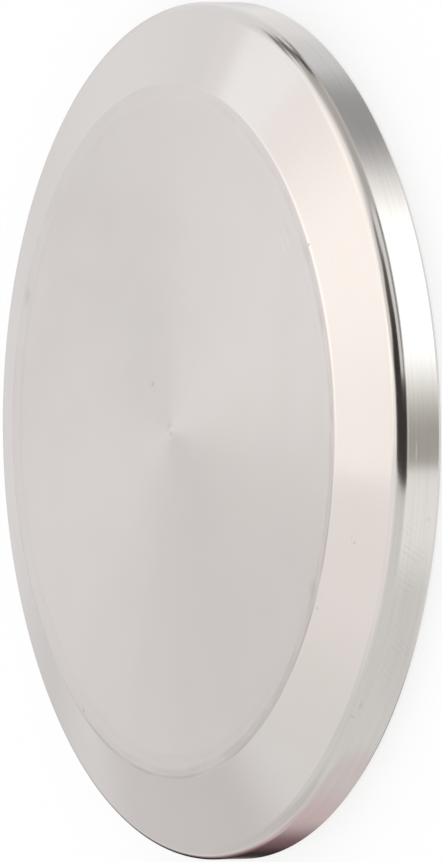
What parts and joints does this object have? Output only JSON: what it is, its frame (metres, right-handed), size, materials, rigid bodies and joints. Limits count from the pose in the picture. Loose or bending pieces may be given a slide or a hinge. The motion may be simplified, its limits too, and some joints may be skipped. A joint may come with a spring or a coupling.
{
  "type": "sanitary clamp end cap",
  "caption": "Solid stainless disc that blanks off the end of a sanitary clamp ferrule, with a bevelled back for the clamp and a gasket groove in its sealing face.",
  "frame": {"origin": "centre of the sealing face, on the cap's axis", "axes": "+Z along the axis, from the sealing face towards the outer face; X and Y are equal, because the cap is round"},
  "size_m": [0.0506, 0.0506, 0.0046],
  "materials": {
    "stainless_steel": "turned and polished: fine turning rings on the boss, smoother bevel and rim"
  },
  "bodies": {
    "root": {"end_cap": "stainless_steel"}
  },
  "joints": []
}
